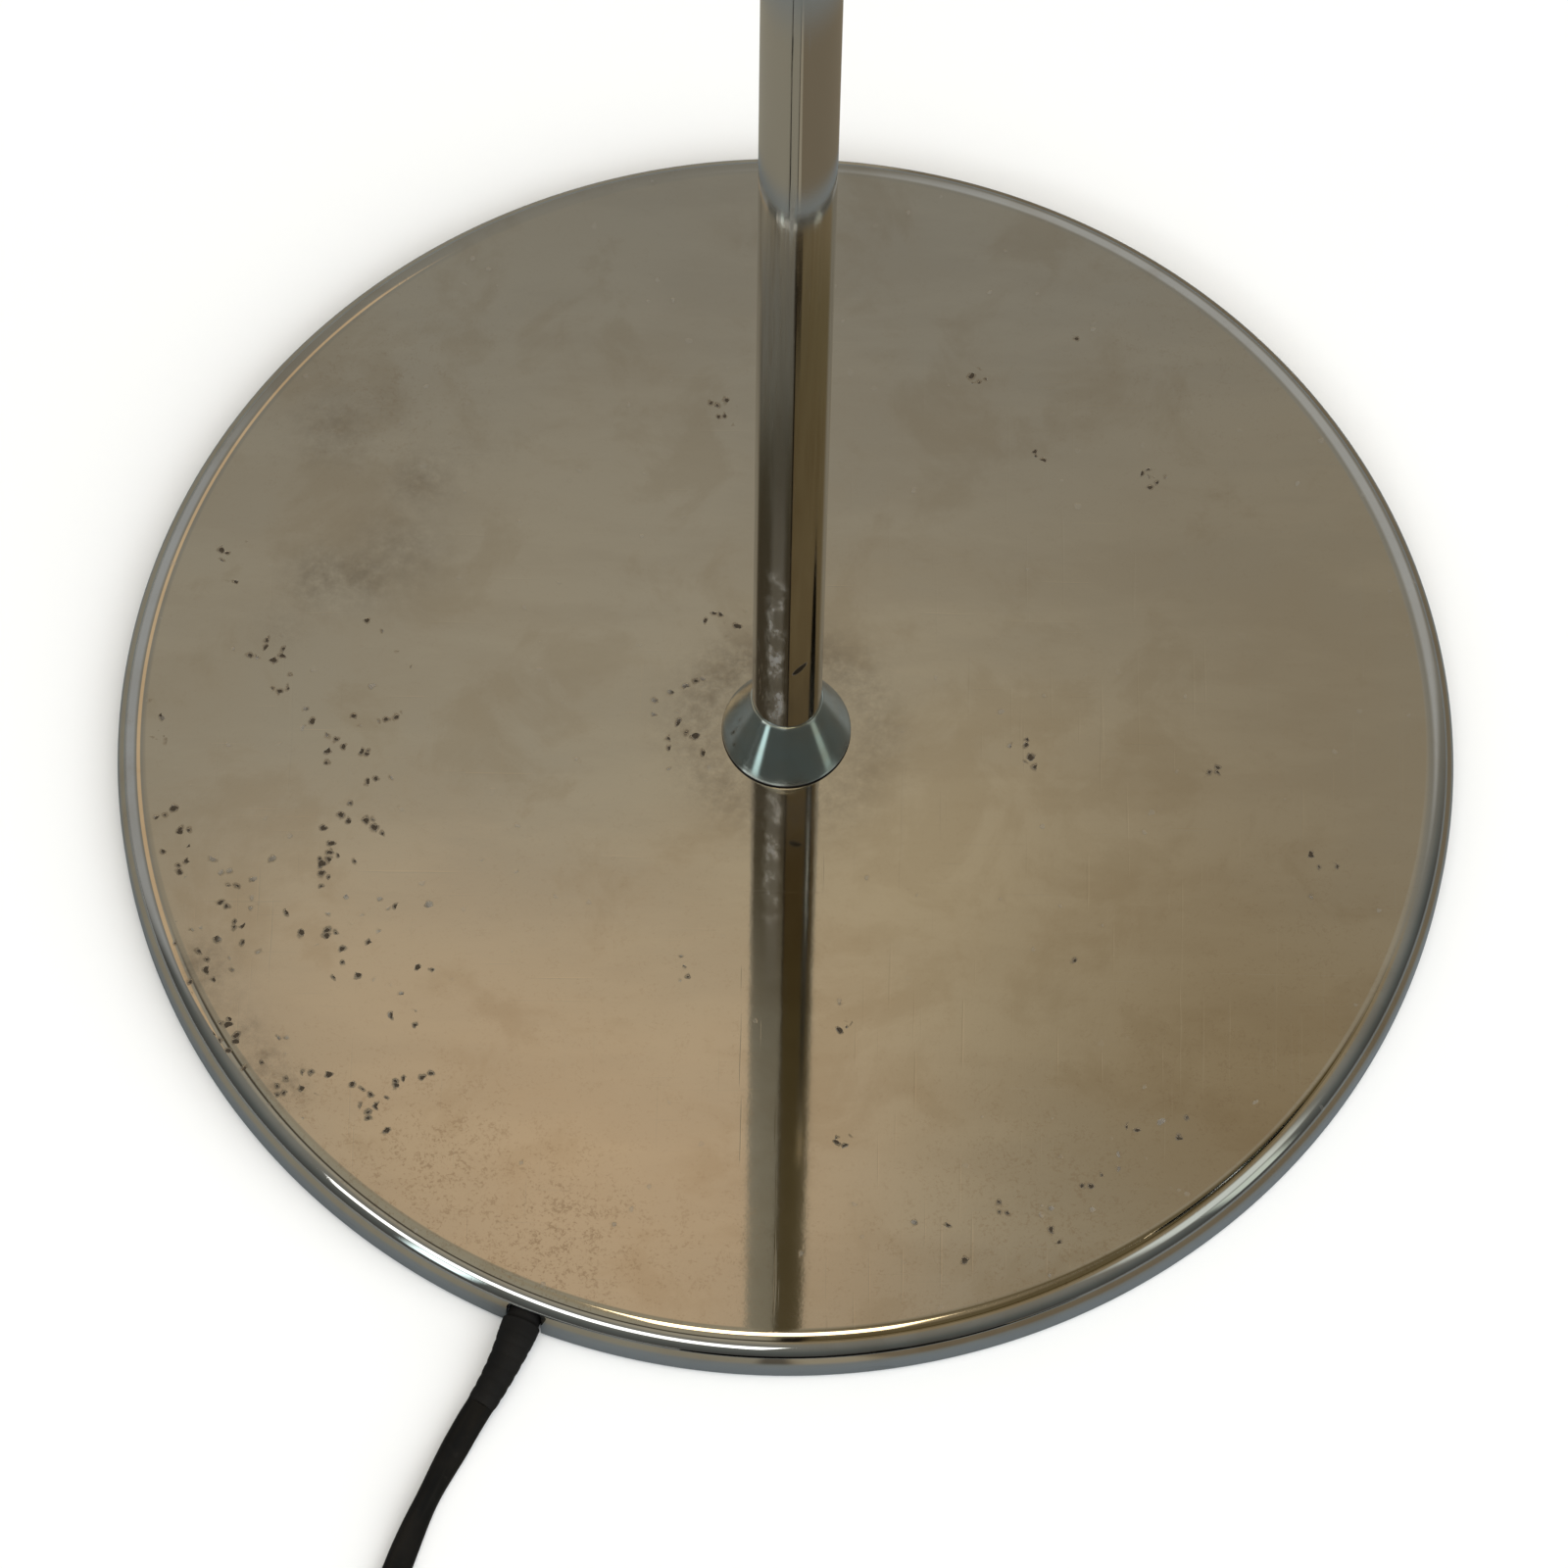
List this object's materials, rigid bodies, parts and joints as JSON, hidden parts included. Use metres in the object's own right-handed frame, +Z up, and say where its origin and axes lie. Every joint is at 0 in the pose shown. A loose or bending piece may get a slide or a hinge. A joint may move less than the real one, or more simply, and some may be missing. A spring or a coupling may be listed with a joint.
{
  "type": "arc floor lamp",
  "caption": "Chromed arc floor lamp: round disc base, conical collar, straight stem, height slide, swivelling bent tube, tilting dome shade, foot switch and corded plug.",
  "frame": {"origin": "centre of the round base on the floor, at the underside of its pad", "axes": "+Z up along the stem; the arc leans towards +X; the cord leaves the base's rim on the -Y side, turned about 21 degrees towards -X"},
  "size_m": [0.7732, 0.529, 1.4263],
  "materials": {
    "chrome": "old polished chrome plate, warm and slightly hazy, with pits and fine dirt",
    "cast_iron": "rough grey iron, painted black",
    "zinc_steel": "zinc plated",
    "brass": "turned brass",
    "felt": "dark green felt",
    "black_plastic": "moulded black plastic, slightly worn",
    "nylon": "natural nylon",
    "cord_black": "flat black flex with a dull sheen",
    "lead": "insulated cores, brown and blue, twisted",
    "ceramic": "glazed white ceramic",
    "opal_glass": "opal glass bulb"
  },
  "bodies": {
    "stand": {"base_cover": "chrome", "base_weight": "cast_iron", "base_pad": "felt", "cord_clamp": "zinc_steel", "cord_clamp_screw_1": "zinc_steel", "cord_clamp_screw_2": "zinc_steel", "base_nipple": "brass", "base_washer": "zinc_steel", "base_lock_nut": "zinc_steel", "stem_tube": "chrome", "stem_insert": "brass", "stem_collar": "chrome", "stem_clamp": "chrome", "clamp_bush": "black_plastic", "clamp_shoe": "brass", "cord_strain_relief": "black_plastic", "base_cord": "cord_black", "stem_lead": "lead", "mains_cord": "cord_black", "mains_cord_after_switch": "cord_black", "cord_coil": "cord_black", "plug_tail": "cord_black", "switch_base": "black_plastic", "switch_cover": "black_plastic", "switch_screw_1": "zinc_steel", "switch_screw_2": "zinc_steel", "switch_contact_block": "nylon", "switch_spring": "zinc_steel", "plug_body": "black_plastic", "plug_pin_left": "brass", "plug_pin_right": "brass"},
    "clamp_knob": {"clamp_screw": "zinc_steel", "clamp_knob": "black_plastic"},
    "slider": {"slide_tube": "chrome", "slide_foot": "nylon", "swivel_socket": "chrome", "swivel_nipple": "brass", "swivel_washer": "nylon", "slide_lead": "lead"},
    "arc": {"arc_collar": "chrome", "arc_retaining_ring": "zinc_steel", "arc_tube": "chrome", "arc_lead": "lead", "arc_fork": "chrome", "tilt_washer_front": "nylon", "tilt_washer_back": "nylon", "tilt_screw": "chrome"},
    "tilt_knob": {"tilt_knob": "black_plastic"},
    "shade": {"shade_tongue": "chrome", "shade_cap": "chrome", "shade": "chrome", "shade_nut": "zinc_steel", "holder_nipple": "brass", "holder_cap": "black_plastic", "holder_skirt": "black_plastic", "holder_insert": "ceramic", "holder_contact": "brass", "bulb_cap": "brass", "bulb_glass": "opal_glass"},
    "button": {"switch_button": "black_plastic"}
  },
  "joints": [
    {"name": "arc_height", "type": "slide", "parent": "stand", "child": "slider", "axis": [0, 0, 1], "range_m": [-0.13, 0.17]},
    {"name": "arc_swivel", "type": "hinge", "parent": "slider", "child": "arc", "pos_m": [0, 0, 0.9], "axis": [0, 0, 1], "range_deg": [-170, 170]},
    {"name": "shade_tilt", "type": "hinge", "parent": "arc", "child": "shade", "pos_m": [0.49317, 0, 1.27614], "axis": [0, 1, 0], "range_deg": [-70, 40]},
    {"name": "clamp_knob_turn", "type": "hinge", "parent": "stand", "child": "clamp_knob", "pos_m": [0, 0, 0.731], "axis": [0, -1, 0], "range_deg": [0, 270]},
    {"name": "tilt_knob_turn", "type": "hinge", "parent": "arc", "child": "tilt_knob", "pos_m": [0.49317, 0, 1.27614], "axis": [0, -1, 0], "range_deg": [0, 270]},
    {"name": "switch_press", "type": "slide", "parent": "stand", "child": "button", "axis": [0, 0, -1], "range_m": [0, 0.003], "stiffness_N_per_m": 600, "springref_m": -0.002}
  ]
}
